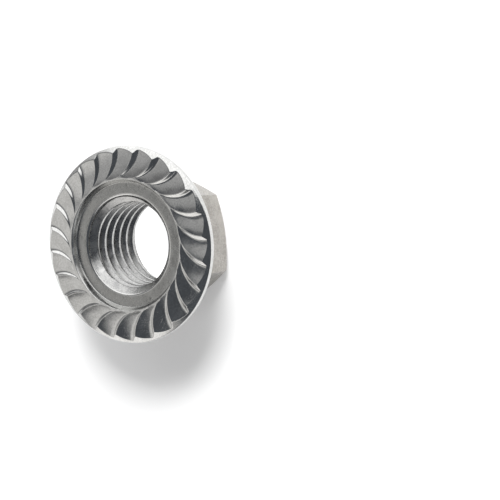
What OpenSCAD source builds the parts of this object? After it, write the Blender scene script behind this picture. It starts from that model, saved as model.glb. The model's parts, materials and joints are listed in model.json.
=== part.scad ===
// Serrated hexagon flange nut, one forged piece, standing on its hexagon end.
// The axis is Z, the hexagon's end lies at z = 0 and the serrated face looks up.

/* [Thread and bore] */
// Nominal diameter of the thread
thread_d = 10; // [9:0.25:10.5]
// Pitch of the thread, which sets the bore
thread_pitch = 1.25; // [1:0.25:1.5]
// Amount by which a countersink's mouth is wider than the thread, at both ends
countersink_over = 0.2; // [0.1:0.1:0.6]
// Included angle of the countersinks
countersink_deg = 90; // [80:5:120]

/* [Hexagon] */
// Width across the flats
across_flats = 13.75; // [13:0.25:14.5]
// Distance from the flats in to where the corner chamfer starts on the end face
chamfer_inset = 0.46; // [0.3:0.02:0.7]
// Slope of the corner chamfer from the end face
chamfer_deg = 35; // [25:1:45]

/* [Flange] */
// Height from the hexagon's end to the serrations' crests
nut_h = 8.95; // [8.25:0.05:11]
// Diameter over the rim of the flange
flange_d = 20; // [19:0.2:22]
// Slope of the flange's back from level
back_deg = 25; // [18:1:30]
// Radius of the fillet that runs from the flats out into the flange's back
neck_fillet = 0.73; // [0.45:0.01:0.9]
// Radius of the round on the rim
rim_round = 0.69; // [0.55:0.01:0.8]
// Depth of the rim's widest line below the crests
rim_drop = 0.66; // [0.56:0.02:0.8]
// Width of the bevel from the crests' plane out to the widest line
bevel_w = 0.75; // [0.65:0.01:0.9]
// Slope of that bevel from level
bevel_deg = 30; // [20:1:40]

/* [Serrated face] */
// Diameter of the recessed ring's floor, inside the serrations
recess_d = 12.66; // [12.2:0.02:13.2]
// Depth of the recessed ring below the crests
recess_depth = 0.63; // [0.45:0.01:0.8]
// Lean of the recess's wall from upright
recess_wall_deg = 25; // [10:1:35]
// Width of the plain edge between the recess and the serrations
recess_edge_w = 0.06; // [0.04:0.02:0.3]
// Number of serrations
tooth_count = 24; // [18:1:30]
// Depth of a serration at the foot of its steep wall, at the outer end
tooth_depth = 0.2; // [0.14:0.02:0.36]
// Width of the flat land left along each crest
crest_land = 0.09; // [0.07:0.01:0.18]
// Slope of each serration's steep wall from level
wall_deg = 55; // [50:5:80]
// Distance in from the rim at which the crests point straight out
crest_inset = 0.5; // [0.3:0.02:0.8]
// Turn of the serrations from the hexagon's corners
crest_turn_deg = -1.4; // [-7.5:0.1:7.5]

/* [Hidden] */
$fn = 128;
// Overlap that carries a cut clear of the face it starts from
cut_over = 0.5;
// Depth by which a straight line sinks into the round that it runs into
blend_sink = 0.01;
// Depth inside the flats at which the neck's fillet starts upright
neck_sink = 0.05;

// Bore at the crests of the inner thread, at 5/8 of the sharp thread's height
thread_height = thread_pitch * sqrt(3) / 2;
bore_r = thread_d / 2 - thread_height * 5 / 8;
mouth_r = (thread_d + countersink_over) / 2;
countersink_slope = 1 / tan(countersink_deg / 2);

// Hexagon
flat_r = across_flats / 2;
corner_r = flat_r / cos(30);
end_ring_r = flat_r - chamfer_inset;

// Flange section
rim_r = flange_d / 2;
rim_z = nut_h - rim_drop;
rim_centre = [rim_r - rim_round, rim_z];
face_r = rim_r - bevel_w;
back_touch = rim_centre + (rim_round - blend_sink) * [sin(back_deg), -cos(back_deg)];
back_apex_z = back_touch.y - back_touch.x * tan(back_deg);
bevel_end = [rim_r, nut_h - bevel_w * tan(bevel_deg)];
neck_x = flat_r - neck_sink + neck_fillet;
neck_reach = neck_fillet - blend_sink;
neck_centre = [neck_x, back_apex_z + neck_x * tan(back_deg) - neck_reach / cos(back_deg)];
neck_touch = neck_centre + neck_reach * [-sin(back_deg), cos(back_deg)];

// Recessed ring
recess_z = nut_h - recess_depth;
recess_r = recess_d / 2;
recess_top_r = recess_r + recess_depth * tan(recess_wall_deg);

// Crest lines: arcs that leave the recess's edge along it and end pointing straight out
crest_tip_r = rim_r - crest_inset;
crest_root_r = recess_top_r + recess_edge_w;
crest_arc_r = (crest_tip_r ^ 2 - crest_root_r ^ 2) / (2 * crest_root_r);
crest_centre = [crest_tip_r, crest_arc_r];
tooth_step = 360 / tooth_count;
// Ball that hollows each serration, from nothing at its own crest to full depth at the next one
next_tip = crest_tip_r * [cos(tooth_step), sin(tooth_step)];
foot_d = norm(next_tip - crest_centre);
ball_lift = (crest_arc_r ^ 2 - foot_d ^ 2 - tooth_depth ^ 2) / (2 * tooth_depth);
ball_r = norm([crest_arc_r, ball_lift]);
// Steep wall, carried above and below the crests' plane
wall_reach = 2 * cut_over;
wall_run = wall_reach / tan(wall_deg);

// Half section of the flange: neck fillet, back cone, rounded rim and bevel up to the crests' plane
module flange_section() {
    intersection() {
        union() {
            difference() {
                polygon([[0, neck_centre.y], neck_centre, neck_touch, back_touch, rim_centre,
                         [rim_centre.x, nut_h], [0, nut_h]]);
                translate(neck_centre) circle(neck_fillet);
            }
            translate(rim_centre) circle(rim_round);
        }
        polygon([[0, neck_centre.y], [rim_r + cut_over, neck_centre.y], [rim_r + cut_over, bevel_end.y],
                 bevel_end, [face_r, nut_h], [0, nut_h]]);
    }
}

// Hexagon with its corners chamfered by one cone at the end
module hexagon() {
    intersection() {
        cylinder(r = corner_r, h = rim_z, $fn = 6);
        cylinder(r1 = end_ring_r, r2 = end_ring_r + rim_z / tan(chamfer_deg), h = rim_z);
    }
}

// Countersink with its mouth at z = 0, narrowing upwards to the bore
module countersink() {
    depth = (mouth_r - bore_r) * countersink_slope;
    over_r = mouth_r + cut_over / countersink_slope;
    translate([0, 0, -cut_over]) cylinder(r1 = over_r, r2 = bore_r, h = depth + cut_over);
}

// Recessed ring's space, widening to the crests' plane
module recess() {
    over_r = recess_top_r + cut_over * tan(recess_wall_deg);
    translate([0, 0, recess_z]) cylinder(r1 = recess_r, r2 = over_r, h = recess_depth + cut_over);
}

// Hollow of one serration: a ball's cap with a clear edge along the next crest's steep wall
module serration() {
    difference() {
        intersection() {
            translate([crest_centre.x, crest_centre.y, nut_h + ball_lift]) sphere(ball_r);
            translate([crest_centre.x, crest_centre.y, nut_h - cut_over])
                cylinder(r = crest_arc_r + crest_land / 2, h = 2 * cut_over);
        }
        rotate(tooth_step) translate([crest_centre.x, crest_centre.y, nut_h - wall_reach])
            cylinder(r1 = crest_arc_r + crest_land + wall_run, r2 = crest_arc_r + crest_land - wall_run,
                     h = 2 * wall_reach);
    }
}

// The whole nut
module flange_nut() {
    color("silver") difference() {
        union() {
            rotate_extrude() flange_section();
            hexagon();
        }
        translate([0, 0, -cut_over]) cylinder(r = bore_r, h = nut_h + 2 * cut_over);
        countersink();
        translate([0, 0, recess_z]) mirror([0, 0, 1]) countersink();
        recess();
        for (tooth = [0 : tooth_count - 1])
            rotate(crest_turn_deg + tooth * tooth_step) serration();
    }
}

flange_nut();
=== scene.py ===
"""Serrated hexagon flange nut in tumbled stainless steel, standing on a plain pale studio floor."""

import json
import math

import bmesh
import bpy
import numpy as np
from bpy.props import FloatProperty, FloatVectorProperty, IntProperty, PointerProperty
from bpy.types import Operator, Panel, PropertyGroup
from mathutils import Matrix, Vector


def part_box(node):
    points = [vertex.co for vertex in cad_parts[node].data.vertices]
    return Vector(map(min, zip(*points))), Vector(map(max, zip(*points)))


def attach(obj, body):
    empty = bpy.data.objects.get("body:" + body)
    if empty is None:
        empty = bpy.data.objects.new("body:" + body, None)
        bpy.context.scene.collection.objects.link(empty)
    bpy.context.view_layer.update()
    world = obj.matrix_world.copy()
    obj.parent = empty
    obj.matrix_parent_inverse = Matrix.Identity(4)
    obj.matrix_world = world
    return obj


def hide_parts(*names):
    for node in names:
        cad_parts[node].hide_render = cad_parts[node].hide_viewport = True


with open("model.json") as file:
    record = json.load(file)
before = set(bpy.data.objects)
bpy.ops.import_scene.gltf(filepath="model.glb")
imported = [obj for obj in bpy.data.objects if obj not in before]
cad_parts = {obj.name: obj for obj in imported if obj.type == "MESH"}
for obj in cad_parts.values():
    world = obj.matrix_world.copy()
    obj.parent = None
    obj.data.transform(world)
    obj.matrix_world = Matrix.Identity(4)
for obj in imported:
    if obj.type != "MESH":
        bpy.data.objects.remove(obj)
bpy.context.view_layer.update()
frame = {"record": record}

bl_info = {
    "name": "Serrated Flange Nut",
    "version": (1, 0, 0),
    "blender": (4, 5, 0),
    "location": "View3D > Sidebar > Flange Nut",
    "description": "Builds a serrated hexagon flange nut and the studio that it is shown in",
    "category": "Add Mesh",
}

MM = 0.001
NODE = "flange_nut"
BODY = "root"

node_low, node_high = (Vector(corner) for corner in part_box(NODE))
thread_mount = next(m for m in frame["record"]["mounts"] if m["name"] == "thread")


class NutSizes(PropertyGroup):
    """Sizes of the nut, in metres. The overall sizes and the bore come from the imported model."""

    nut_h: FloatProperty(
        name="Height", description="From the hexagon's end to the serrations' crests",
        default=node_high.z - node_low.z, unit="LENGTH")
    flange_d: FloatProperty(
        name="Flange diameter", description="Over the flange's rim",
        default=node_high.x - node_low.x, unit="LENGTH")
    bore_r: FloatProperty(
        name="Bore radius", description="At the crests of the inner thread",
        default=thread_mount["dims"]["r_mm"] * MM, unit="LENGTH")
    thread_pitch: FloatProperty(
        name="Thread pitch", description="Rise of the right-hand thread in one turn",
        default=1.25 * MM, unit="LENGTH")
    thread_turn: FloatProperty(
        name="Thread turn", description="Where a crest of the thread passes the hexagon's end",
        default=math.radians(147), unit="ROTATION")
    mouth_d: FloatProperty(
        name="Countersink mouth", description="Diameter of both countersinks at their mouths",
        default=10.2 * MM, unit="LENGTH")
    countersink_angle: FloatProperty(
        name="Countersink angle", description="Included angle of both countersinks",
        default=math.radians(90), unit="ROTATION")
    across_flats: FloatProperty(
        name="Across flats", description="Width of the hexagon",
        default=13.75 * MM, unit="LENGTH")
    corner_round: FloatProperty(
        name="Corner round", description="Radius along the hexagon's upright corners",
        default=0.2 * MM, unit="LENGTH")
    chamfer_inset: FloatProperty(
        name="Chamfer inset", description="From the flats in to the flat ring on the end",
        default=0.46 * MM, unit="LENGTH")
    chamfer_angle: FloatProperty(
        name="Chamfer slope", description="Slope of the corner chamfer from the end face",
        default=math.radians(35), unit="ROTATION")
    back_angle: FloatProperty(
        name="Back slope", description="Slope of the flange's back from level",
        default=math.radians(25), unit="ROTATION")
    neck_fillet: FloatProperty(
        name="Neck fillet", description="Radius from the flats out into the flange's back",
        default=0.73 * MM, unit="LENGTH")
    neck_sink: FloatProperty(
        name="Neck sink", description="Depth inside the flats at which that fillet starts upright",
        default=0.05 * MM, unit="LENGTH")
    rim_round: FloatProperty(
        name="Rim round", description="Radius of the flange's rim",
        default=0.69 * MM, unit="LENGTH")
    rim_drop: FloatProperty(
        name="Rim drop", description="Depth of the rim's widest line below the crests",
        default=0.66 * MM, unit="LENGTH")
    bevel_w: FloatProperty(
        name="Bevel width", description="From the crests' plane out to the rim's widest line",
        default=0.75 * MM, unit="LENGTH")
    bevel_angle: FloatProperty(
        name="Bevel slope", description="Slope of that bevel from level",
        default=math.radians(30), unit="ROTATION")
    recess_d: FloatProperty(
        name="Recess diameter", description="Floor of the ring inside the serrations",
        default=12.66 * MM, unit="LENGTH")
    recess_depth: FloatProperty(
        name="Recess depth", description="Depth of that ring below the crests",
        default=0.63 * MM, unit="LENGTH")
    recess_lean: FloatProperty(
        name="Recess wall lean", description="Lean of the recess's wall from upright",
        default=math.radians(25), unit="ROTATION")
    recess_edge_w: FloatProperty(
        name="Recess edge", description="Plain edge between the recess and the serrations",
        default=0.06 * MM, unit="LENGTH")
    tooth_count: IntProperty(
        name="Serrations", description="Number of serrations", default=24)
    tooth_depth: FloatProperty(
        name="Serration depth", description="Depth that the blades' hollows tend towards",
        default=0.37 * MM, unit="LENGTH")
    ramp_reach: FloatProperty(
        name="Ramp reach", description="Distance over which a blade falls most of that depth",
        default=1.5 * MM, unit="LENGTH")
    wall_angle: FloatProperty(
        name="Wall slope", description="Slope of the steep walls from level",
        default=math.radians(37), unit="ROTATION")
    wall_top: FloatProperty(
        name="Wall top", description="From the middle line of a steep wall to its upper edge",
        default=0.06 * MM, unit="LENGTH")
    shoulder_angle: FloatProperty(
        name="Shoulder slope", description="Slope of the shoulder from a wall's top up to the highest line",
        default=math.radians(15), unit="ROTATION")
    shoulder_w: FloatProperty(
        name="Shoulder width", description="From the top of a steep wall to the highest line behind it",
        default=0.06 * MM, unit="LENGTH")
    shoulder_spread: FloatProperty(
        name="Shoulder spread", description="Distance from the recess over which the shoulders widen",
        default=1.1 * MM, unit="LENGTH")
    crest_inset: FloatProperty(
        name="Crest inset", description="From the rim in to where the crests point straight out",
        default=0.5 * MM, unit="LENGTH")
    crest_turn: FloatProperty(
        name="Crest turn", description="Turn of the serrations from the hexagon's corners",
        default=math.radians(-1.4), unit="ROTATION")


class SteelColors(PropertyGroup):
    """Colours of the nut's finishes, each from its darker to its lighter patches."""

    bright_dark: FloatVectorProperty(
        name="Bright, dark", description="Darker patches of the tumbled steel",
        subtype="COLOR", size=3, default=(0.56, 0.56, 0.55))
    bright_light: FloatVectorProperty(
        name="Bright, light", description="Lighter patches of the tumbled steel",
        subtype="COLOR", size=3, default=(0.68, 0.68, 0.67))
    ring_dark: FloatVectorProperty(
        name="Ring, dark", description="Darker patches of the recessed ring and the end face",
        subtype="COLOR", size=3, default=(0.35, 0.35, 0.34))
    ring_light: FloatVectorProperty(
        name="Ring, light", description="Lighter patches of the recessed ring and the end face",
        subtype="COLOR", size=3, default=(0.46, 0.46, 0.45))
    satin_dark: FloatVectorProperty(
        name="Satin, dark", description="Darker patches of the hexagon's drawn flats",
        subtype="COLOR", size=3, default=(0.29, 0.275, 0.255))
    satin_light: FloatVectorProperty(
        name="Satin, light", description="Lighter patches of the hexagon's drawn flats",
        subtype="COLOR", size=3, default=(0.48, 0.46, 0.43))
    thread_dark: FloatVectorProperty(
        name="Thread, dark", description="Darker patches of the thread",
        subtype="COLOR", size=3, default=(0.36, 0.36, 0.36))
    thread_light: FloatVectorProperty(
        name="Thread, light", description="Lighter patches of the thread",
        subtype="COLOR", size=3, default=(0.6, 0.6, 0.59))


class StudioSettings(PropertyGroup):
    """Floor, light and camera."""

    floor_size: FloatProperty(
        name="Floor size", description="Side of the square floor", default=1.2, unit="LENGTH")
    floor_color: FloatVectorProperty(
        name="Floor colour", description="Colour of the floor",
        subtype="COLOR", size=3, default=(0.85, 0.85, 0.85))
    floor_glow: FloatProperty(
        name="Floor glow", description="Light that the camera sees from the floor besides its shading",
        default=0.2)
    # Painted light: the floor seen through the bore glows this bright, lifting it to white out of the nut's
    # shade
    painted_well_light: FloatProperty(
        name="Well glow", description="The same, on the floor that is seen through the bore",
        default=1.0)
    key_power: FloatProperty(
        name="Key power", description="Power of the soft lamp above the nut, in watts", default=3.8)
    key_size: FloatProperty(
        name="Key size", description="Side of the square lamp", default=0.2, unit="LENGTH")
    key_distance: FloatProperty(
        name="Key distance", description="From the nut to the lamp", default=0.6, unit="LENGTH")
    key_side: FloatVectorProperty(
        name="Key side", description="Direction of the lamp, to the picture's right, top and front",
        size=3, default=(-0.08, 0.6, 0.8))
    camera_lens: FloatProperty(
        name="Lens", description="Focal length on a 36 mm sensor, in millimetres", default=64.8)
    camera_place: FloatVectorProperty(
        name="Camera place", description="Where the camera stands",
        subtype="TRANSLATION", size=3, default=(47.17 * MM, -26.946 * MM, 82.142 * MM))
    camera_azimuth: FloatProperty(
        name="Azimuth", description="Side that the camera looks from, around the nut from +X",
        default=math.radians(-26.912), unit="ROTATION")
    camera_elevation: FloatProperty(
        name="Elevation", description="Slope of the camera's axis from level",
        default=math.radians(61.274), unit="ROTATION")
    camera_roll: FloatProperty(
        name="Roll", description="Turn of the camera about its own axis",
        default=math.radians(-100.078), unit="ROTATION")


def smooth_min(a, b, blend):
    """Lower of two heights, rounded over where they come within blend of each other."""
    near = np.maximum(blend - np.abs(a - b), 0.0)
    return np.minimum(a, b) - near * near / (4.0 * blend)


def smooth_max(a, b, blend):
    """Higher of two heights, rounded in where they come within blend of each other."""
    return -smooth_min(-a, -b, blend)


def smooth_step(x):
    """Eased rise from 0 to 1."""
    x = np.clip(x, 0.0, 1.0)
    return x * x * (3 - 2 * x)


class NutShape:
    """Sections and surfaces of the nut, worked out from its sizes."""

    # Rounds in the serrations: at a wall's foot in full and at the inner ends, at the wall's top,
    # along the crest, and where the bevel cuts the blades
    foot_round = 0.09 * MM
    root_foot = 0.015 * MM
    wall_blend = 0.04 * MM
    crest_blend = 0.025 * MM
    bevel_blend = 0.025 * MM
    # Turn within which a point counts as lying on the inner end of a crest's arc
    root_turn = 1e-6

    def __init__(self, sizes):
        self.sizes = sizes
        self.rim_r = sizes.flange_d / 2
        self.rim_centre = np.array([self.rim_r - sizes.rim_round, sizes.nut_h - sizes.rim_drop])
        self.face_r = self.rim_r - sizes.bevel_w
        self.flat_r = sizes.across_flats / 2
        self.end_ring_r = self.flat_r - sizes.chamfer_inset
        self.mouth_r = sizes.mouth_d / 2
        self.recess_z = sizes.nut_h - sizes.recess_depth
        self.recess_r = sizes.recess_d / 2
        self.recess_top_r = self.recess_r + sizes.recess_depth * math.tan(sizes.recess_lean)
        self.step = 2 * math.pi / sizes.tooth_count
        self.tip_r = self.rim_r - sizes.crest_inset
        self.root_r = self.recess_top_r + sizes.recess_edge_w
        self.arc_r = (self.tip_r ** 2 - self.root_r ** 2) / (2 * self.root_r)
        self.arc_d = math.hypot(self.tip_r, self.arc_r)
        self.arc_turn = math.atan2(self.arc_r, self.tip_r)
        self.back_slope = math.tan(sizes.back_angle)
        self.back_point = self.rim_point(sizes.back_angle - math.pi / 2)
        self.back_apex_z = self.back_point[1] - self.back_point[0] * self.back_slope
        self.neck_x = self.flat_r - sizes.neck_sink + sizes.neck_fillet
        self.neck_z = self.cone_z(self.neck_x) - sizes.neck_fillet / math.cos(sizes.back_angle)

    def rim_point(self, angle):
        """Section point on the rim's round."""
        return self.rim_centre + self.sizes.rim_round * np.array([math.cos(angle), math.sin(angle)])

    def cone_z(self, r):
        """Height of the flange's back cone."""
        return self.back_apex_z + r * self.back_slope

    def back_z(self, r):
        """Height of the flange's back: the cone, and inside it the neck's fillet."""
        fillet = self.sizes.neck_fillet
        across = np.clip(self.neck_x - r, 0.0, fillet)
        arc = self.neck_z + np.sqrt(fillet ** 2 - across ** 2)
        in_arc = r < self.neck_x - fillet * math.sin(self.sizes.back_angle)
        return np.where(in_arc, arc, self.cone_z(r))

    def arc_distance(self, r, turn):
        """Distance from a crest's arc centre to the point at radius r, turned from the crest's tip."""
        cosine = np.cos(self.arc_turn - turn)
        return np.sqrt(self.arc_d ** 2 + r ** 2 - 2 * self.arc_d * r * cosine)

    def arc_angle(self, r, reach):
        """Turn from a crest's tip at which a circle of radius reach about its arc centre cuts radius r."""
        cosine = (self.arc_d ** 2 + r ** 2 - reach ** 2) / (2 * self.arc_d * r)
        return self.arc_turn - np.arccos(np.clip(cosine, -1.0, 1.0))

    def spread(self, r):
        """Share of their full width that the shoulders have at a radius."""
        return smooth_step((r - self.root_r) / self.sizes.shoulder_spread)

    def tooth_z(self, r, inside, behind):
        """Height of one serration below the crests, at a distance inside its wall's middle line."""
        sizes = self.sizes
        spread = self.spread(r)
        from_wall = inside - sizes.wall_top * spread
        past_crest = from_wall - sizes.shoulder_w * spread
        rise = math.tan(sizes.shoulder_angle)
        from_crest = np.maximum(past_crest, -sizes.shoulder_w)
        ramp = sizes.tooth_depth * (np.exp(-from_crest / sizes.ramp_reach) - 1)
        shoulder = past_crest * rise
        wall = from_wall * math.tan(sizes.wall_angle) - sizes.shoulder_w * spread * rise
        front = smooth_min(smooth_min(shoulder, ramp, self.crest_blend), wall, self.wall_blend)
        return np.where(behind, np.minimum(ramp, -self.crest_blend / 4), front)

    def serrated_z(self, r, turn):
        """Height of the serrated face below the crests, turned from one wall's tip towards the next."""
        own = self.arc_r - self.arc_distance(r, turn)
        following = self.arc_r - self.arc_distance(r, turn - self.step)
        blade = self.tooth_z(r, own, turn > self.arc_turn - self.root_turn)
        foot_round = self.root_foot + self.foot_round * self.spread(r)
        return smooth_max(blade, self.tooth_z(r, following, False), foot_round)

    def bevel_z(self, r):
        """Height of the rim's bevel below the crests."""
        return (self.face_r - r) * math.tan(self.sizes.bevel_angle)

    def face_z(self, r, turn):
        """Height of the serrated face or of the bevel that cuts it, below the crests."""
        return smooth_min(self.serrated_z(r, turn), self.bevel_z(r), self.bevel_blend)

    def bevel_corner(self):
        """Section point where the bevel runs into the rim's round."""
        slope = math.tan(self.sizes.bevel_angle)
        across = self.rim_centre[0] - self.face_r
        drop = self.rim_centre[1] - self.sizes.nut_h
        a = 1 + slope ** 2
        b = across - slope * drop
        c = across ** 2 + drop ** 2 - self.sizes.rim_round ** 2
        run = (b + math.sqrt(b * b - a * c)) / a
        return np.array([self.face_r + run, self.sizes.nut_h - slope * run])

    def hexagon_r(self, angle):
        """Radius of the hexagon's rounded outline, with corners at multiples of 60 degrees."""
        sixth = math.pi / 3
        from_corner = np.abs((angle + sixth / 2) % sixth - sixth / 2)
        flat = self.flat_r / np.cos(sixth / 2 - from_corner)
        radius = self.sizes.corner_round
        centre = (self.flat_r - radius) / math.cos(sixth / 2)
        arc_end = math.atan2(radius * math.sin(sixth / 2), centre + radius * math.cos(sixth / 2))
        inside = np.minimum(from_corner, arc_end)
        arc = centre * np.cos(inside) + np.sqrt(radius ** 2 - (centre * np.sin(inside)) ** 2)
        return np.where(from_corner < arc_end, arc, flat)

    def thread_lead(self, angle):
        """Height that the thread has climbed at an angle."""
        return self.sizes.thread_pitch * (angle - self.sizes.thread_turn) / (2 * math.pi)

    def bore_section_r(self, z, angle):
        """Radius of the bore: the thread's ridges and grooves, opened by the two countersinks."""
        pitch = self.sizes.thread_pitch
        phase = ((z - self.thread_lead(angle)) / pitch) % 1.0
        from_crest = np.minimum(phase, 1.0 - phase) * pitch
        depth = pitch * math.sqrt(3) / 2 * 5 / 8
        groove = np.clip((from_crest - pitch / 8) / math.tan(math.pi / 6), 0.0, depth)
        widening = math.tan(self.sizes.countersink_angle / 2)
        low = self.mouth_r - z * widening
        high = self.mouth_r - (self.recess_z - z) * widening
        return np.maximum(self.sizes.bore_r + groove, np.maximum(low, high))


# Places of the mesh's lines across one serration, from the middle line of the wall on either side
RAMP_LINES = np.array([0.04, 0.08, 0.12, 0.16, 0.2, 0.24, 0.3, 0.38, 0.44, 0.5, 0.56, 0.66]) * MM
WALL_LINES = np.array([0.26, 0.18, 0.12, 0.075, 0.035]) * MM
BETWEEN_LINES = 6
LINES = 1 + len(RAMP_LINES) + BETWEEN_LINES + len(WALL_LINES)
LINE = np.arange(LINES)
# Width over which the lines run from even spacing at the recess to those places
LINES_SPREAD = 0.2 * MM
# Shares of the way from the recess to the blades' ends, and from there down the bevel
FACE_SHARES = (*(0.9 * np.linspace(0, 1, 32) ** 1.6), 0.93, 0.955, 0.975, 0.99, 1.0)
BEVEL_SHARES = (0.06, 0.16, 0.35, 0.6, 0.85, 1.0)
# Steps of the mesh's rows within one turn of the thread, from crest to crest
HALF_THREAD_STEPS = (0.0, 0.1, 0.125, 0.15, 0.28, 0.41, 0.4375, 0.465)
THREAD_STEPS = np.array((*HALF_THREAD_STEPS, 0.5, *(1 - s for s in reversed(HALF_THREAD_STEPS[1:]))))
# Turns of the thread's rows that are laid out past each end of the bore
SPARE_TURNS = 3
# Distance from a mouth within which the thread's rows are joined to it
ROW_SNAP = 0.02 * MM
# Columns of the serrated face for each column of the thread
THREAD_SHARE = 3
# Share of the way in from a crest's inner end that the lines across a blade may take up
LINES_ROOM = 0.9
# Rounds of the search for the edge between the blades and the bevel
EDGE_ROUNDS = 40
# Reach of the small rounds on the edges, from each corner
MOUTH_ROUND = 0.12 * MM
RECESS_FOOT_ROUND = 0.11 * MM
RECESS_LIP_ROUND = 0.04 * MM
BEVEL_ROUND = 0.07 * MM
NECK_ROUND = 0.1 * MM
END_ROUND = 0.065 * MM
# Distances of the rings that keep flat faces flat, from the edges beside them
FAN_OUT = 0.45 * MM
END_FACE_OUT = 0.64 * MM
RECESS_FLOOR_IN = 0.23 * MM
RECESS_LIP_OUT = 0.045 * MM
NECK_OUT = 0.12 * MM
# Points on the rim's round, and the turn from the bevel's corner to the first of them
RIM_POINTS = 14
RIM_TURN = 0.2
# Shares of the way up the recess's wall, in along the flange's back, down the flats and across the chamfer
RECESS_WALL_SHARES = (0.35, 0.6)
BACK_SHARES = (0.08, 0.2, 0.35, 0.5, 0.63, 0.74, 0.83, 0.9, 0.95, 1.0)
FLAT_SHARES = (0.1, 0.25, 0.45, 0.65, 0.85, 0.95)
CHAMFER_SHARES = (0.25, 0.5, 0.75)

# Zones of the mesh, one for each finish
STEEL_BRIGHT, STEEL_SATIN, STEEL_RING, STEEL_THREAD = range(4)


def serration_lines(shape, r):
    """Turns from a crest's tip of the mesh's lines across one serration, for each radius."""
    r = np.asarray(r, dtype=float)
    crest = shape.arc_angle(r, shape.arc_r)
    room = np.clip((r - shape.root_r) * LINES_ROOM / RAMP_LINES[-1], 0.0, 1.0)
    ramp = [shape.arc_angle(r, shape.arc_r - g * room) for g in RAMP_LINES]
    wall = [shape.step + shape.arc_angle(r, shape.arc_r + e) for e in WALL_LINES]
    share = np.arange(1, BETWEEN_LINES + 1) / (BETWEEN_LINES + 1)
    between = [ramp[-1] + (wall[0] - ramp[-1]) * t for t in share]
    exact = np.stack([crest] + ramp + between + wall, axis=-1)
    even = shape.arc_turn + shape.step * LINE / LINES
    spread = smooth_step((r - shape.root_r) / LINES_SPREAD)[..., None]
    return exact * spread + even * (1 - spread)


def line_turns(shape, r_lines):
    """Turn of each line of one serration, at its own radius."""
    return serration_lines(shape, r_lines)[LINE, LINE]


class RingStack:
    """Rings of points around the axis, joined one to the next by strips of faces."""

    def __init__(self):
        self.verts = []
        self.faces = []
        self.zones = []
        self.last = None

    def add_points(self, points):
        """Adds loose points and gives their numbers."""
        start = len(self.verts)
        self.verts.extend(map(tuple, points))
        return np.arange(start, start + len(points))

    def ring(self, r, angle, z, zone):
        """Adds one closed ring and the strip from the ring before it."""
        r, angle, z = np.broadcast_arrays(r, angle, z)
        ids = self.add_points(np.stack([r * np.cos(angle), r * np.sin(angle), z], axis=-1))
        if self.last is not None:
            self.strip(self.last, ids, zone)
        self.last = ids
        return ids

    def section(self, points, angle, zone):
        """Adds one ring for each point of a section, which may differ from column to column."""
        for point in points:
            self.ring(point[..., 0], angle, point[..., 1], zone)

    def strip(self, a, b, zone):
        """Joins two rings of the same count."""
        for i in range(len(a)):
            j = (i + 1) % len(a)
            self.face((a[i], a[j], b[j], b[i]), zone)

    def fan(self, fine, coarse, zone):
        """Joins a fine ring to a coarse one with THREAD_SHARE times fewer points."""
        count = len(fine)
        for i in range(len(coarse)):
            first = i * THREAD_SHARE
            many = [fine[(first + k) % count] for k in range(THREAD_SHARE + 1)]
            self.face((*many, coarse[(i + 1) % len(coarse)], coarse[i]), zone)

    def face(self, ids, zone):
        """Adds one face, without the corners that fall together."""
        kept = [int(v) for k, v in enumerate(ids) if v != ids[k - 1]]
        if len(set(kept)) >= 3:
            self.faces.append(kept)
            self.zones.append(zone)


def soften(a, corner, b, reach, count=5):
    """Points of a small round that replaces a corner between two points of a section."""
    a, corner, b = np.broadcast_arrays(a, corner, b)
    to_a = (a - corner) / np.linalg.norm(a - corner, axis=-1, keepdims=True)
    to_b = (b - corner) / np.linalg.norm(b - corner, axis=-1, keepdims=True)
    start, end = corner + to_a * reach, corner + to_b * reach
    for t in np.linspace(0.0, 1.0, count):
        yield (1 - t) ** 2 * start + 2 * t * (1 - t) * corner + t * t * end


def between(a, b, shares):
    """Points on the way from one point of a section to another."""
    return [a + (b - a) * share for share in shares]


def recessed_ring(shape, stack, angle):
    """Adds the recess's floor and wall, up to the serrations' inner ends, and gives its first ring."""
    sizes = shape.sizes
    lip_turn = line_turns(shape, np.full(LINES, shape.recess_top_r))
    edge_z = shape.serrated_z(shape.recess_top_r, lip_turn)
    lip_z = sizes.nut_h + np.tile(edge_z, sizes.tooth_count)
    inner = np.array([shape.mouth_r, shape.recess_z])
    foot = np.array([shape.recess_r, shape.recess_z])
    lip = np.stack([np.full_like(lip_z, shape.recess_top_r), lip_z], axis=-1)
    first = stack.ring(shape.mouth_r + FAN_OUT, angle, shape.recess_z, STEEL_RING)
    stack.ring(shape.recess_r - RECESS_FLOOR_IN, angle, shape.recess_z, STEEL_RING)
    stack.section(soften(inner, foot, lip, RECESS_FOOT_ROUND, 6), angle, STEEL_RING)
    stack.section(between(foot, lip, RECESS_WALL_SHARES), angle, STEEL_BRIGHT)
    outward = lip + np.array([MM, 0.0])
    stack.section(list(soften(foot, lip, outward, RECESS_LIP_ROUND))[:-1], angle, STEEL_BRIGHT)
    return first


def serrated_face(shape, stack):
    """Adds the serrated face and the bevel outside it, and gives the columns' angles at the rim."""
    sizes = shape.sizes
    teeth = np.repeat(np.arange(sizes.tooth_count), LINES) * shape.step + sizes.crest_turn

    def ring(r_lines, turn):
        z = sizes.nut_h + shape.face_z(r_lines, turn)
        r, turn, z = (np.tile(values, sizes.tooth_count) for values in (r_lines, turn, z))
        stack.ring(r, teeth + turn, z, STEEL_BRIGHT)

    edge_r = np.full(LINES, shape.face_r)
    for _ in range(EDGE_ROUNDS):
        edge_turn = line_turns(shape, edge_r)
        edge_r = shape.face_r - shape.serrated_z(edge_r, edge_turn) / math.tan(sizes.bevel_angle)
    inner_r = shape.recess_top_r + RECESS_LIP_OUT
    for share in FACE_SHARES:
        r_lines = inner_r + (edge_r - inner_r) * share
        ring(r_lines, line_turns(shape, r_lines))
    bevel_r = shape.bevel_corner()[0] - BEVEL_ROUND
    for share in BEVEL_SHARES:
        ring(edge_r + (bevel_r - edge_r) * share, edge_turn)
    return teeth + np.tile(edge_turn, sizes.tooth_count)


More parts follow.
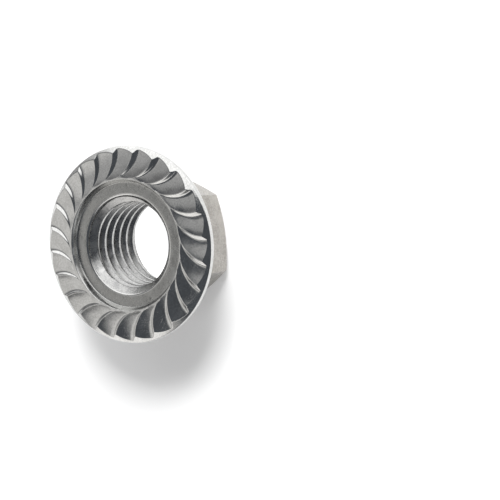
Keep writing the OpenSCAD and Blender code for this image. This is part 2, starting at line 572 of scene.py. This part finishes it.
def flange_back(shape, stack, rim_angle):
    """Adds the rim, the flange's back, the flats and the hexagon's chamfered end."""
    sizes = shape.sizes
    corner = shape.bevel_corner()
    bevel_in = np.array([shape.face_r, sizes.nut_h])
    rim_start = math.atan2(*(corner - shape.rim_centre)[::-1]) - RIM_TURN
    rim_end = sizes.back_angle - math.pi / 2
    rim = [shape.rim_point(turn) for turn in np.linspace(rim_start, rim_end, RIM_POINTS)]
    stack.section(soften(bevel_in, corner, rim[0], BEVEL_ROUND), rim_angle, STEEL_BRIGHT)
    stack.section(rim, rim_angle, STEEL_BRIGHT)

    even_lines = serration_lines(shape, np.full(1, shape.tip_r))[0]
    hex_angle = np.concatenate([k * shape.step + even_lines for k in range(sizes.tooth_count)])
    hex_r = shape.hexagon_r(hex_angle)
    neck_r = hex_r + NECK_OUT
    for share in BACK_SHARES:
        r = shape.back_point[0] + (neck_r - shape.back_point[0]) * share
        stack.ring(r, rim_angle + (hex_angle - rim_angle) * share, shape.back_z(r), STEEL_BRIGHT)

    edge_z = (hex_r - shape.end_ring_r) * math.tan(sizes.chamfer_angle)
    neck = np.stack([neck_r, shape.back_z(neck_r)], axis=-1)
    top = np.stack([hex_r, shape.back_z(hex_r)], axis=-1)
    edge = np.stack([hex_r, edge_z], axis=-1)
    end_ring = np.array([shape.end_ring_r, 0.0])
    mouth = np.array([shape.mouth_r, 0.0])
    stack.section(list(soften(neck, top, edge, NECK_ROUND))[1:], hex_angle, STEEL_SATIN)
    stack.section(between(top, edge, FLAT_SHARES), hex_angle, STEEL_SATIN)
    stack.section(soften(top, edge, end_ring, END_ROUND), hex_angle, STEEL_SATIN)
    stack.section(between(edge, end_ring, CHAMFER_SHARES), hex_angle, STEEL_SATIN)
    stack.section(soften(edge, end_ring, mouth, END_ROUND), hex_angle, STEEL_SATIN)


def bore(shape, stack, low_ring, high_ring, z_low, z_high):
    """Adds the threaded bore between two rings, in rows that climb with the thread."""
    columns = len(low_ring)
    pitch = shape.sizes.thread_pitch
    turns = np.arange(-SPARE_TURNS, math.ceil(z_high / pitch) + SPARE_TURNS)
    climb = np.add.outer(turns, THREAD_STEPS).ravel() * pitch
    rows = len(climb) - 1
    angle = 2 * math.pi * np.arange(columns) / columns
    z = climb[:, None] + shape.thread_lead(angle)[None, :]
    below = z < z_low + ROW_SNAP
    above = z > z_high - ROW_SNAP
    r = shape.bore_section_r(z, angle[None, :])
    points = np.stack([r * np.cos(angle), r * np.sin(angle), z], axis=-1)
    inside = ~(below | above)
    ids = np.where(below, low_ring[None, :], high_ring[None, :])
    ids[inside] = stack.add_points(points[inside])
    for column in range(columns):
        across = (column + 1) % columns
        lift = len(THREAD_STEPS) if across == 0 else 0
        for row in range(rows):
            lower, upper = min(row + lift, rows), min(row + 1 + lift, rows)
            corners = ids[row, column], ids[lower, across], ids[upper, across], ids[row + 1, column]
            stack.face(corners, STEEL_THREAD)


def nut_mesh(sizes):
    """Builds the whole nut as one closed mesh."""
    shape = NutShape(sizes)
    stack = RingStack()
    count = sizes.tooth_count * LINES
    column = 2 * math.pi / count
    even = column * np.arange(count)
    face_start = sizes.crest_turn + shape.arc_turn

    fine_high = recessed_ring(shape, stack, face_start + even)
    rim_angle = serrated_face(shape, stack)
    flange_back(shape, stack, rim_angle)
    stack.ring(shape.mouth_r + END_FACE_OUT, even, 0.0, STEEL_RING)
    fine_low = stack.ring(shape.mouth_r + FAN_OUT, even, 0.0, STEEL_RING)

    coarse = even[::THREAD_SHARE]
    mouths = []
    widening = math.tan(sizes.countersink_angle / 2)
    fine_high = np.roll(fine_high, round(face_start / column))
    for fine, z, way in ((fine_low, 0.0, 1), (fine_high, shape.recess_z, -1)):
        stack.last = None
        outer, corner = np.array([shape.mouth_r + MM, z]), np.array([shape.mouth_r, z])
        inner = np.array([shape.mouth_r - MM * widening, z + way * MM])
        edge = list(soften(outer, corner, inner, MOUTH_ROUND))
        flat = stack.ring(edge[0][0], coarse, edge[0][1], STEEL_RING)
        stack.section(edge[1:], coarse, STEEL_BRIGHT)
        mouths.append((stack.last, edge[-1][1]))
        stack.fan(fine, flat, STEEL_RING)
    (low_ring, z_low), (high_ring, z_high) = mouths
    bore(shape, stack, low_ring, high_ring, z_low, z_high)

    mesh = bpy.data.meshes.new("flange_nut_steel")
    mesh.from_pydata(stack.verts, [], stack.faces)
    mesh.polygons.foreach_set("material_index", stack.zones)
    mesh.polygons.foreach_set("use_smooth", [True] * len(stack.faces))
    tidy = bmesh.new()
    tidy.from_mesh(mesh)
    bmesh.ops.recalc_face_normals(tidy, faces=tidy.faces)
    tidy.to_mesh(mesh)
    tidy.free()
    return mesh


class Nodes:
    """Short ways to add and join nodes in one tree. A socket or a plain value may be given for an input."""

    def __init__(self, tree):
        self.tree = tree

    def add(self, kind, inputs=None, **settings):
        """New node with its settings and inputs."""
        node = self.tree.nodes.new(kind)
        for name, value in settings.items():
            setattr(node, name, value)
        for name, value in (inputs or {}).items():
            self.feed(node.inputs[name], value)
        return node

    def feed(self, socket, value):
        """Joins a socket to an input, or sets the input's value."""
        if isinstance(value, bpy.types.NodeSocket):
            self.tree.links.new(value, socket)
        else:
            socket.default_value = value

    def math(self, operation, a, b=0.0, c=0.0):
        """Result of a sum. The third value is what a multiplication adds."""
        return self.add("ShaderNodeMath", {0: a, 1: b, 2: c}, operation=operation).outputs[0]

    def ramp(self, value, low, high, to_low=0.0, to_high=1.0):
        """Eased rise between two values of the input."""
        inputs = {"Value": value, "From Min": low, "From Max": high, "To Min": to_low, "To Max": to_high}
        node = self.add("ShaderNodeMapRange", inputs, interpolation_type="SMOOTHSTEP")
        return node.outputs["Result"]

    def mix(self, share, a, b):
        """Colour between two colours."""
        node = self.add("ShaderNodeMix", {0: share, 6: a, 7: b}, data_type="RGBA")
        return node.outputs[2]

    def noise(self, place, scale, detail):
        """Even noise around one half."""
        inputs = {"Vector": place, "Scale": scale, "Detail": detail}
        return self.add("ShaderNodeTexNoise", inputs).outputs["Fac"]


# Light of the studio's sides, as the steel mirrors them
WHITE = (1.0, 1.0, 1.0, 1.0)
TABLE_LIGHT = (0.76, 0.75, 0.735, 1.0)
SHADOW_LIGHT = (0.2, 0.2, 0.2, 1.0)
WALL_LIGHT = (0.46, 0.46, 0.46, 1.0)
DOOR_LIGHT = (0.2, 0.2, 0.205, 1.0)
RIGHT_LIGHT = (0.33, 0.34, 0.35, 1.0)
FRONT_LIGHT = (0.085, 0.092, 0.103, 1.0)
BELOW_LIGHT = (1.2, 1.18, 1.16, 1.0)
CEILING_LIGHT = (1.5, 1.5, 1.5, 1.0)
SIDE_LIGHT = (0.6, 0.6, 0.6, 1.0)
# Heights, sides and depths over which that light changes, as seen from the nut in the picture's directions
SHADOW_HEIGHTS = (-0.4, -0.48)
WALL_HEIGHTS = (-0.03, 0.04)
DOOR_HEIGHTS = (0.13, 0.24)
RIGHT_SIDES = (-0.2, 0.5)
FRONT_DEPTHS = (0.4, 0.56)
BELOW_HEIGHTS = (-0.5, -0.62)
BELOW_SIDES = (-0.25, -0.45)
CEILING_HEIGHTS = (0.34, 0.46)
CEILING_SIDES = (-0.88, -0.72)
CEILING_FADE_SIDES = (0.4, 0.75)
# Depth by which the wall stands back from the front at the height between table and doorway
WALL_BACK = 0.25

# Turns of the three lays of hair scratches, and how far each is drawn out along its lay
HAIR_TURNS = ((0.3, 0.2, 0.4), (0.9, -0.5, 2.0), (-0.6, 0.8, 1.2))
HAIR_STRETCH = (25, 1, 1)
# Noise levels between which a hair scratch starts and is full
HAIR_LEVELS = (0.66, 0.74)
# Levels between which a cell's pit grows from nothing, its widest reach and the width of its slope
PIT_LEVELS = (0.78, 1.0)
PIT_REACH = 0.4
PIT_SLOPE = 0.25
# Part of the patches and of the grain in the colour, and the levels from dark to light
TONE_PART = 0.5
TONE_LEVELS = (0.35, 0.65)
# Levels of the patches from smooth to rough, and what a scratch adds
ROUGH_LEVELS = (0.3, 0.7)
SCRATCH_ROUGH = 0.08
# How far a pit's colour goes towards dark
PIT_DARK = 0.45
# Heights of the marks in the relief, next to the grain's
SCRATCH_HEIGHT = -0.6
PATCH_HEIGHT = 5.0
PIT_HEIGHT = -3.0

FLOOR_ROUGHNESS = 0.9
# Width of the soft edge round the painted light on the floor that shows through the bore, as a share of its
# radius
WELL_EDGE = 1.05
SENSOR_W = 36.0
CLIP_START = 0.005


def rgba(color):
    """Colour with full cover."""
    return (*color, 1.0)


def new_material(name):
    """A material with a bare Principled shader."""
    material = bpy.data.materials.new(name)
    material.use_nodes = True
    return material, material.node_tree.nodes["Principled BSDF"]


def tumbled_group():
    """Node group for the marks that tumbling leaves: patches, fine grain, hair scratches and pits."""
    tree = bpy.data.node_groups.new("tumbled_marks", "ShaderNodeTree")
    tree.interface.new_socket("Place", in_out="INPUT", socket_type="NodeSocketVector")
    for name in ("Patch Scale", "Grain Scale", "Scratch Scale", "Pit Scale"):
        tree.interface.new_socket(name, in_out="INPUT", socket_type="NodeSocketFloat")
    for name in ("Patches", "Grain", "Scratches", "Pits"):
        tree.interface.new_socket(name, in_out="OUTPUT", socket_type="NodeSocketFloat")
    nodes = Nodes(tree)
    given = nodes.add("NodeGroupInput").outputs
    result = nodes.add("NodeGroupOutput")

    nodes.feed(result.inputs["Patches"], nodes.noise(given["Place"], given["Patch Scale"], 3.0))
    nodes.feed(result.inputs["Grain"], nodes.noise(given["Place"], given["Grain Scale"], 4.0))
    hairs = None
    for turn in HAIR_TURNS:
        inputs = {"Vector": given["Place"], "Rotation": turn, "Scale": HAIR_STRETCH}
        lay = nodes.add("ShaderNodeMapping", inputs, vector_type="TEXTURE")
        streaks = nodes.noise(lay.outputs["Vector"], given["Scratch Scale"], 1.0)
        hair = nodes.ramp(streaks, *HAIR_LEVELS)
        hairs = hair if hairs is None else nodes.math("MAXIMUM", hairs, hair)
    nodes.feed(result.inputs["Scratches"], hairs)
    cells = nodes.add("ShaderNodeTexVoronoi", {"Vector": given["Place"], "Scale": given["Pit Scale"]})
    chosen = nodes.add("ShaderNodeSeparateColor", {"Color": cells.outputs["Color"]}).outputs["Red"]
    size = nodes.ramp(chosen, *PIT_LEVELS, 0.0, PIT_REACH)
    hollow = nodes.math("SUBTRACT", size, cells.outputs["Distance"])
    nodes.feed(result.inputs["Pits"], nodes.ramp(hollow, 0.0, PIT_SLOPE))
    return tree


def edge_wear_group():
    """Node group for the edges that handling has rubbed bright."""
    tree = bpy.data.node_groups.new("edge_wear", "ShaderNodeTree")
    for name in ("From", "To"):
        tree.interface.new_socket(name, in_out="INPUT", socket_type="NodeSocketFloat")
    tree.interface.new_socket("Worn", in_out="OUTPUT", socket_type="NodeSocketFloat")
    nodes = Nodes(tree)
    given = nodes.add("NodeGroupInput").outputs
    result = nodes.add("NodeGroupOutput")
    edge = nodes.add("ShaderNodeNewGeometry").outputs["Pointiness"]
    nodes.feed(result.inputs["Worn"], nodes.ramp(edge, given["From"], given["To"]))
    return tree


def steel(name, groups, colors, roughness, scales, bump, wear):
    """A steel finish, with the scales of its patches, grain, scratches and pits, and their height.

    The colours run from dark to light and rubbed, and the roughness from smooth to rough. The wear gives
    the levels from which edges show the rubbed colour, or None."""
    tumbled, edge_wear = groups
    material, shader = new_material(name)
    nodes = Nodes(material.node_tree)
    place = nodes.add("ShaderNodeTexCoord").outputs["Object"]
    marks = nodes.add("ShaderNodeGroup", node_tree=tumbled)
    nodes.feed(marks.inputs["Place"], place)
    for socket, scale in zip(("Patch Scale", "Grain Scale", "Scratch Scale", "Pit Scale"), scales):
        nodes.feed(marks.inputs[socket], scale)
    dark, light, rubbed = (rgba(color) for color in colors)
    patches, grain, scratches, pits = (marks.outputs[n] for n in ("Patches", "Grain", "Scratches", "Pits"))
    tone = nodes.math("MULTIPLY_ADD", grain, TONE_PART, nodes.math("MULTIPLY", patches, TONE_PART))
    base = nodes.mix(nodes.ramp(tone, *TONE_LEVELS), dark, light)
    base = nodes.mix(nodes.math("MULTIPLY", pits, PIT_DARK), base, dark)
    if wear:
        worn = nodes.add("ShaderNodeGroup", node_tree=edge_wear)
        nodes.feed(worn.inputs["From"], wear[0])
        nodes.feed(worn.inputs["To"], wear[1])
        base = nodes.mix(worn.outputs["Worn"], base, rubbed)
    nodes.feed(shader.inputs["Base Color"], base)
    dull = nodes.ramp(patches, *ROUGH_LEVELS, *roughness)
    nodes.feed(shader.inputs["Roughness"], nodes.math("MULTIPLY_ADD", scratches, SCRATCH_ROUGH, dull))
    shader.inputs["Metallic"].default_value = 1.0
    height = nodes.math("MULTIPLY_ADD", scratches, SCRATCH_HEIGHT, grain)
    height = nodes.math("MULTIPLY_ADD", patches, PATCH_HEIGHT, height)
    height = nodes.math("MULTIPLY_ADD", pits, PIT_HEIGHT, height)
    relief = nodes.add("ShaderNodeBump", {"Height": height, "Distance": bump})
    nodes.feed(shader.inputs["Normal"], relief.outputs["Normal"])
    return material


def nut_finishes(colors):
    """The nut's finishes, in the order of the mesh's zones."""
    groups = tumbled_group(), edge_wear_group()
    bright = colors.bright_dark, colors.bright_light, colors.bright_light
    ring = colors.ring_dark, colors.ring_light, colors.bright_light
    satin = colors.satin_dark, colors.satin_light, colors.bright_light
    thread = colors.thread_dark, colors.thread_light, colors.bright_light
    return (
        steel("bright_steel", groups, bright, (0.1, 0.17), (700, 6000, 9000, 900), 1.5e-6, (0.52, 0.6)),
        steel("satin_steel", groups, satin, (0.2, 0.34), (380, 7000, 7000, 1100), 4e-6, (0.54, 0.6)),
        steel("ring_steel", groups, ring, (0.22, 0.3), (900, 8000, 8000, 1000), 4e-6, None),
        steel("thread_steel", groups, thread, (0.22, 0.34), (1200, 7000, 7000, 1300), 2.5e-6, (0.54, 0.64)),
    )


def studio_world(right, up, front):
    """A white ceiling, a pale table and a grey wall around a dark front where the camera stands."""
    world = bpy.data.worlds.new("studio_world")
    world.use_nodes = True
    nodes = Nodes(world.node_tree)
    way = nodes.add("ShaderNodeTexCoord").outputs["Generated"]

    def along(axis):
        share = nodes.add("ShaderNodeVectorMath", {0: way, 1: axis}, operation="DOT_PRODUCT")
        return share.outputs["Value"]

    side, height, depth = along(right), along(up), along(front)
    wall = nodes.ramp(height, *WALL_HEIGHTS)
    doorway = nodes.ramp(height, *DOOR_HEIGHTS)
    light = nodes.mix(nodes.ramp(height, *SHADOW_HEIGHTS), TABLE_LIGHT, SHADOW_LIGHT)
    light = nodes.mix(wall, light, WALL_LIGHT)
    light = nodes.mix(doorway, light, DOOR_LIGHT)
    light = nodes.mix(nodes.ramp(side, *RIGHT_SIDES), light, RIGHT_LIGHT)
    front_depth = nodes.math("MULTIPLY_ADD", nodes.math("SUBTRACT", doorway, wall), WALL_BACK, depth)
    light = nodes.mix(nodes.ramp(front_depth, *FRONT_DEPTHS), light, FRONT_LIGHT)
    below = nodes.math("MULTIPLY", nodes.ramp(height, *BELOW_HEIGHTS), nodes.ramp(side, *BELOW_SIDES))
    light = nodes.mix(below, light, BELOW_LIGHT)
    ceiling = nodes.mix(nodes.ramp(side, *CEILING_SIDES), DOOR_LIGHT, CEILING_LIGHT)
    ceiling = nodes.mix(nodes.ramp(side, *CEILING_FADE_SIDES), ceiling, SIDE_LIGHT)
    light = nodes.mix(nodes.ramp(height, *CEILING_HEIGHTS), light, ceiling)
    seen = nodes.add("ShaderNodeLightPath").outputs["Is Camera Ray"]
    nodes.feed(world.node_tree.nodes["Background"].inputs["Color"], nodes.mix(seen, light, WHITE))
    return world


def floor_finish(studio, well_r):
    """White paper that shows as white to the camera and in the steel, and still takes the shadow. Where it
    shows through the bore it gets painted light that makes it white in spite of the nut's shade.
    """
    material, shader = new_material("floor_paper")
    shader.inputs["Base Color"].default_value = rgba(studio.floor_color)
    shader.inputs["Roughness"].default_value = FLOOR_ROUGHNESS
    shader.inputs["Emission Color"].default_value = WHITE
    nodes = Nodes(material.node_tree)
    place = nodes.add("ShaderNodeTexCoord").outputs["Object"]
    from_axis = nodes.add("ShaderNodeVectorMath", {0: place}, operation="LENGTH").outputs["Value"]
    # Even glow of the floor, rising inside the bore's radius to painted light that makes the floor there
    # white in spite of the nut's shade
    glow = nodes.ramp(from_axis, well_r, well_r * WELL_EDGE, studio.painted_well_light, studio.floor_glow)
    path = nodes.add("ShaderNodeLightPath").outputs
    seen = nodes.math("MAXIMUM", path["Is Camera Ray"], path["Is Glossy Ray"])
    seen = nodes.math("MAXIMUM", seen, path["Is Transmission Ray"])
    nodes.feed(shader.inputs["Emission Strength"], nodes.math("MULTIPLY", seen, glow))
    return material


class FLANGENUT_OT_nut(Operator):
    """Build the nut"""

    bl_idname = "flange_nut.nut"
    bl_label = "Flange Nut"

    def execute(self, context):
        scene = context.scene
        nut = bpy.data.objects.new("flange_nut_body", nut_mesh(scene.flange_nut_sizes))
        scene.collection.objects.link(nut)
        for finish in nut_finishes(scene.flange_nut_colors):
            nut.data.materials.append(finish)
        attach(nut, BODY)
        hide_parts(NODE)
        return {"FINISHED"}


class FLANGENUT_OT_stage(Operator):
    """Lay the floor, hang the lamp and set up the camera"""

    bl_idname = "flange_nut.stage"
    bl_label = "Studio"

    def execute(self, context):
        scene = context.scene
        studio = scene.flange_nut_studio
        sizes = scene.flange_nut_sizes
        half = studio.floor_size / 2
        corners = [(-half, -half, 0), (half, -half, 0), (half, half, 0), (-half, half, 0)]
        mesh = bpy.data.meshes.new("studio_floor")
        mesh.from_pydata(corners, [], [(0, 1, 2, 3)])
        mesh.materials.append(floor_finish(studio, sizes.mouth_d / 2))
        floor = bpy.data.objects.new("studio_floor", mesh)
        scene.collection.objects.link(floor)

        azimuth, elevation, roll = studio.camera_azimuth, studio.camera_elevation, studio.camera_roll
        level = math.cos(elevation)
        front = Vector((level * math.cos(azimuth), level * math.sin(azimuth), math.sin(elevation)))
        level_right = Vector((-math.sin(azimuth), math.cos(azimuth), 0.0))
        right = Matrix.Rotation(roll, 3, front) @ level_right
        up = front.cross(right)
        turn = Matrix((right, up, front)).transposed()
        scene.world = studio_world(right, up, front)

        data = bpy.data.cameras.new("camera")
        data.lens = studio.camera_lens
        data.sensor_width = SENSOR_W
        data.clip_start = CLIP_START
        camera = bpy.data.objects.new("camera", data)
        camera.matrix_world = Matrix.Translation(studio.camera_place) @ turn.to_4x4()
        scene.collection.objects.link(camera)
        scene.camera = camera

        lamp = bpy.data.lights.new("key_lamp", "AREA")
        lamp.energy = studio.key_power
        lamp.size = studio.key_size
        key = bpy.data.objects.new("key_lamp", lamp)
        side = (turn @ Vector(studio.key_side)).normalized()
        facing = side.to_track_quat("Z", "Y").to_matrix().to_4x4()
        key.matrix_world = Matrix.Translation(side * studio.key_distance) @ facing
        key.visible_glossy = False
        scene.collection.objects.link(key)
        scene.view_settings.view_transform = "Standard"
        return {"FINISHED"}


class FLANGENUT_PT_sidebar(Panel):
    """Buttons for the nut and its studio"""

    bl_idname = "FLANGENUT_PT_sidebar"
    bl_label = "Flange Nut"
    bl_space_type = "VIEW_3D"
    bl_region_type = "UI"
    bl_category = "Flange Nut"

    def draw(self, context):
        for operator in OPERATORS:
            self.layout.operator(operator.bl_idname)


OPERATORS = (FLANGENUT_OT_nut, FLANGENUT_OT_stage)
CLASSES = (NutSizes, SteelColors, StudioSettings, *OPERATORS, FLANGENUT_PT_sidebar)


def register():
    for cls in CLASSES:
        bpy.utils.register_class(cls)
    bpy.types.Scene.flange_nut_sizes = PointerProperty(type=NutSizes)
    bpy.types.Scene.flange_nut_colors = PointerProperty(type=SteelColors)
    bpy.types.Scene.flange_nut_studio = PointerProperty(type=StudioSettings)


def unregister():
    del bpy.types.Scene.flange_nut_studio
    del bpy.types.Scene.flange_nut_colors
    del bpy.types.Scene.flange_nut_sizes
    for cls in reversed(CLASSES):
        bpy.utils.unregister_class(cls)


def main():
    """Builds the nut and its studio."""
    register()
    bpy.ops.flange_nut.nut()
    bpy.ops.flange_nut.stage()


if __name__ == "__main__":
    main()
